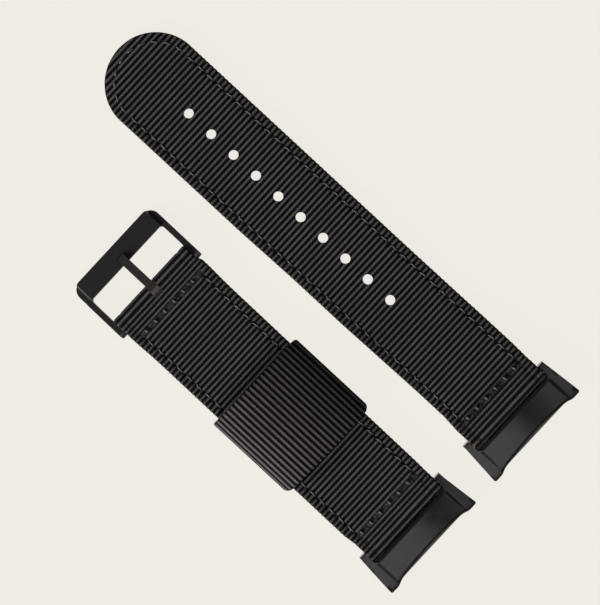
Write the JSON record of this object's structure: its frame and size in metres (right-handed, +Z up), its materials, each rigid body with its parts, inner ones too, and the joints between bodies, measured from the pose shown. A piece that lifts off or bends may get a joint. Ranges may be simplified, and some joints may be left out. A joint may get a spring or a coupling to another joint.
{
  "type": "nylon watch strap",
  "caption": "Two-piece ribbed nylon watch strap: long holed piece, short piece with keeper and tongue buckle, and metal adapters with quick release spring bars at the watch ends.",
  "frame": {"origin": "centre of the footprint of the two pieces as laid out, on the surface they lie on", "axes": "+X along both pieces towards the watch end, +Y from the short piece to the long piece, +Z up out of the outer faces"},
  "size_m": [0.1234, 0.0592, 0.0082],
  "materials": {
    "webbing": "ribbed weave",
    "keeper_webbing": "ribbed weave",
    "thread": "thread",
    "adapter_metal": "satin black",
    "buckle_metal": "satin black",
    "tongue_metal": "satin black",
    "pin_steel": "satin",
    "spring_steel": "bright"
  },
  "bodies": {
    "short_band": {"short_webbing": "webbing", "short_edge_stitching_left": "thread", "short_edge_stitching_right": "thread", "short_cross_stitching_buckle": "thread", "short_cross_stitching_adapter": "thread", "buckle_bar_tube": "pin_steel", "buckle_bar_spring": "spring_steel"},
    "keeper": {"keeper_band": "keeper_webbing", "keeper_seam_stitching": "thread"},
    "buckle_frame": {"buckle_frame": "buckle_metal"},
    "buckle_tongue": {"buckle_tongue": "tongue_metal"},
    "bar_plunger_left": {"buckle_bar_plunger_left": "pin_steel"},
    "bar_plunger_right": {"buckle_bar_plunger_right": "pin_steel"},
    "short_adapter": {"short_adapter_shell": "adapter_metal", "short_strap_pin": "pin_steel", "short_release_tube": "pin_steel", "short_release_fixed_tip": "pin_steel", "short_release_spring": "spring_steel"},
    "short_release": {"short_release_plunger": "pin_steel", "short_release_knob": "pin_steel"},
    "tail_band": {"tail_webbing": "webbing", "tail_edge_stitching": "thread", "tail_cross_stitching": "thread"},
    "tail_adapter": {"tail_adapter_shell": "adapter_metal", "tail_strap_pin": "pin_steel", "tail_release_tube": "pin_steel", "tail_release_fixed_tip": "pin_steel", "tail_release_spring": "spring_steel"},
    "tail_release": {"tail_release_plunger": "pin_steel", "tail_release_knob": "pin_steel"}
  },
  "joints": [
    {"name": "keeper_slide", "type": "slide", "parent": "short_band", "child": "keeper", "axis": [1, 0, 0], "range_m": [-0.02, 0.0175]},
    {"name": "frame_hinge", "type": "hinge", "parent": "short_band", "child": "buckle_frame", "pos_m": [-0.02051, -0.0164, 0.00323], "axis": [0, 1, 0], "range_deg": [-60, 40]},
    {"name": "tongue_hinge", "type": "hinge", "parent": "buckle_frame", "child": "buckle_tongue", "pos_m": [-0.02051, -0.0164, 0.00323], "axis": [0, 1, 0], "range_deg": [0, 65]},
    {"name": "bar_press_left", "type": "slide", "parent": "short_band", "child": "bar_plunger_left", "axis": [0, -1, 0], "range_m": [0, 0.00095], "stiffness_N_per_m": 400, "springref_m": -0.0005, "deforming": ["buckle_bar_spring"]},
    {"name": "bar_press_right", "type": "slide", "parent": "short_band", "child": "bar_plunger_right", "axis": [0, 1, 0], "range_m": [0, 0.00095], "stiffness_N_per_m": 400, "springref_m": -0.0005},
    {"name": "short_adapter_hinge", "type": "hinge", "parent": "short_band", "child": "short_adapter", "pos_m": [0.0523, -0.0164, 0.00308], "axis": [0, 1, 0], "range_deg": [-30, 70]},
    {"name": "short_release_slide", "type": "slide", "parent": "short_adapter", "child": "short_release", "axis": [0, 1, 0], "range_m": [0, 0.0011], "stiffness_N_per_m": 400, "springref_m": -0.0005, "deforming": ["short_release_spring"]},
    {"name": "tail_adapter_hinge", "type": "hinge", "parent": "tail_band", "child": "tail_adapter", "pos_m": [0.0523, 0.0164, 0.00308], "axis": [0, 1, 0], "range_deg": [-30, 70]},
    {"name": "tail_release_slide", "type": "slide", "parent": "tail_adapter", "child": "tail_release", "axis": [0, 1, 0], "range_m": [0, 0.0011], "stiffness_N_per_m": 400, "springref_m": -0.0005, "deforming": ["tail_release_spring"]},
    {"name": "tail_lift", "type": "slide", "parent": "short_band", "child": "tail_band", "axis": [0, 0, 1], "range_m": [0, 0.03]}
  ]
}
